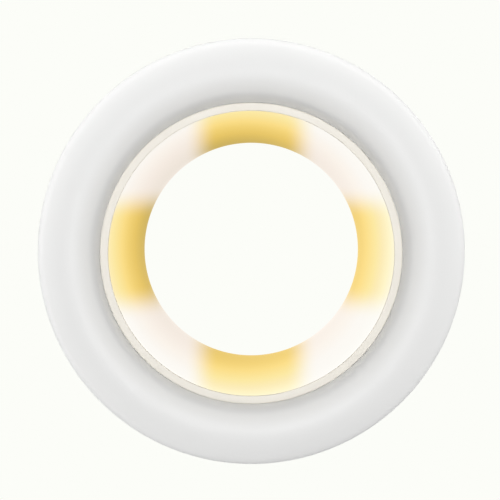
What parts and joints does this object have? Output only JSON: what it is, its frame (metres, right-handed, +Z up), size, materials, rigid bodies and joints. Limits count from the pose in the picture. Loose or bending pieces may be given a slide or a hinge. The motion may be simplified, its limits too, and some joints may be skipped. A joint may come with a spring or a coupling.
{
  "type": "ceiling access point",
  "caption": "Ring-shaped ceiling wireless access point with a rounded white cover, a lit halo funnel round an open centre, and a twist-lock mounting bracket.",
  "frame": {"origin": "centre of the ring in the ceiling plane, at the back of the mounting bracket", "axes": "+Z up, into the ceiling; the lit front faces -Z, down into the room; +Y towards the network port"},
  "size_m": [0.2, 0.2, 0.038],
  "materials": {
    "cover_white": "satin, fine spark texture",
    "bezel_ivory": "satin",
    "diffuser_frost": "frosted translucent",
    "base_white": "fine texture",
    "frame_white": "smooth, opaque",
    "bracket_grey": "fine texture",
    "latch_grey": "smooth",
    "steel": "zinc plated",
    "tin_can": "drawn, tin plated",
    "aluminium": "die cast",
    "board_green": "solder mask",
    "board_white": "white solder mask",
    "chip_black": "moulded epoxy",
    "led_amber": "clear resin over phosphor",
    "led_white": "clear resin over phosphor",
    "connector_black": "moulded nylon",
    "gold": "gold flash",
    "pad_grey": "silicone",
    "lead_grey": "extruded jacket",
    "ferrite": "pressed ferrite",
    "can_aluminium": "drawn can",
    "label_paper": "printed film, blank",
    "button_black": "smooth"
  },
  "bodies": {
    "bracket": {"mounting_bracket": "bracket_grey", "lock_guide": "steel", "lock_guide_screws": "steel"},
    "lock": {"lock_slide": "latch_grey"},
    "unit": {"rear_base": "base_white", "front_cover": "cover_white", "bezel_ring": "bezel_ivory", "light_diffuser": "diffuser_frost", "light_frame": "frame_white", "led_board": "board_white", "amber_leds": "led_amber", "white_leds": "led_white", "led_header": "connector_black", "main_board": "board_green", "processor_chip": "chip_black", "radio_shield_a": "tin_can", "radio_shield_b": "tin_can", "led_driver_chip": "chip_black", "poe_transformer": "ferrite", "network_transformer": "chip_black", "memory_chips": "chip_black", "power_inductors": "ferrite", "power_capacitors": "can_aluminium", "heat_spreader": "aluminium", "thermal_pads": "pad_grey", "ethernet_jack": "tin_can", "ethernet_contacts": "gold", "antenna_1": "tin_can", "antenna_2": "tin_can", "antenna_3": "tin_can", "antenna_4": "tin_can", "antenna_lead_1": "lead_grey", "antenna_lead_2": "lead_grey", "antenna_lead_3": "lead_grey", "antenna_lead_4": "lead_grey", "bracket_studs": "steel", "cover_screws": "steel", "board_screws": "steel", "rating_label": "label_paper", "reset_switch": "button_black"},
    "reset": {"reset_button": "button_black"}
  },
  "joints": [
    {"name": "twist_off", "type": "hinge", "parent": "bracket", "child": "unit", "pos_m": [0, 0, 0], "axis": [0, 0, -1], "range_deg": [0, 15]},
    {"name": "lock_slide_travel", "type": "slide", "parent": "bracket", "child": "lock", "axis": [-1, 0, 0], "range_m": [0, 0.004]},
    {"name": "reset_press", "type": "slide", "parent": "unit", "child": "reset", "axis": [0, 0, -1], "range_m": [0, 0.0008], "stiffness_N_per_m": 1000}
  ]
}
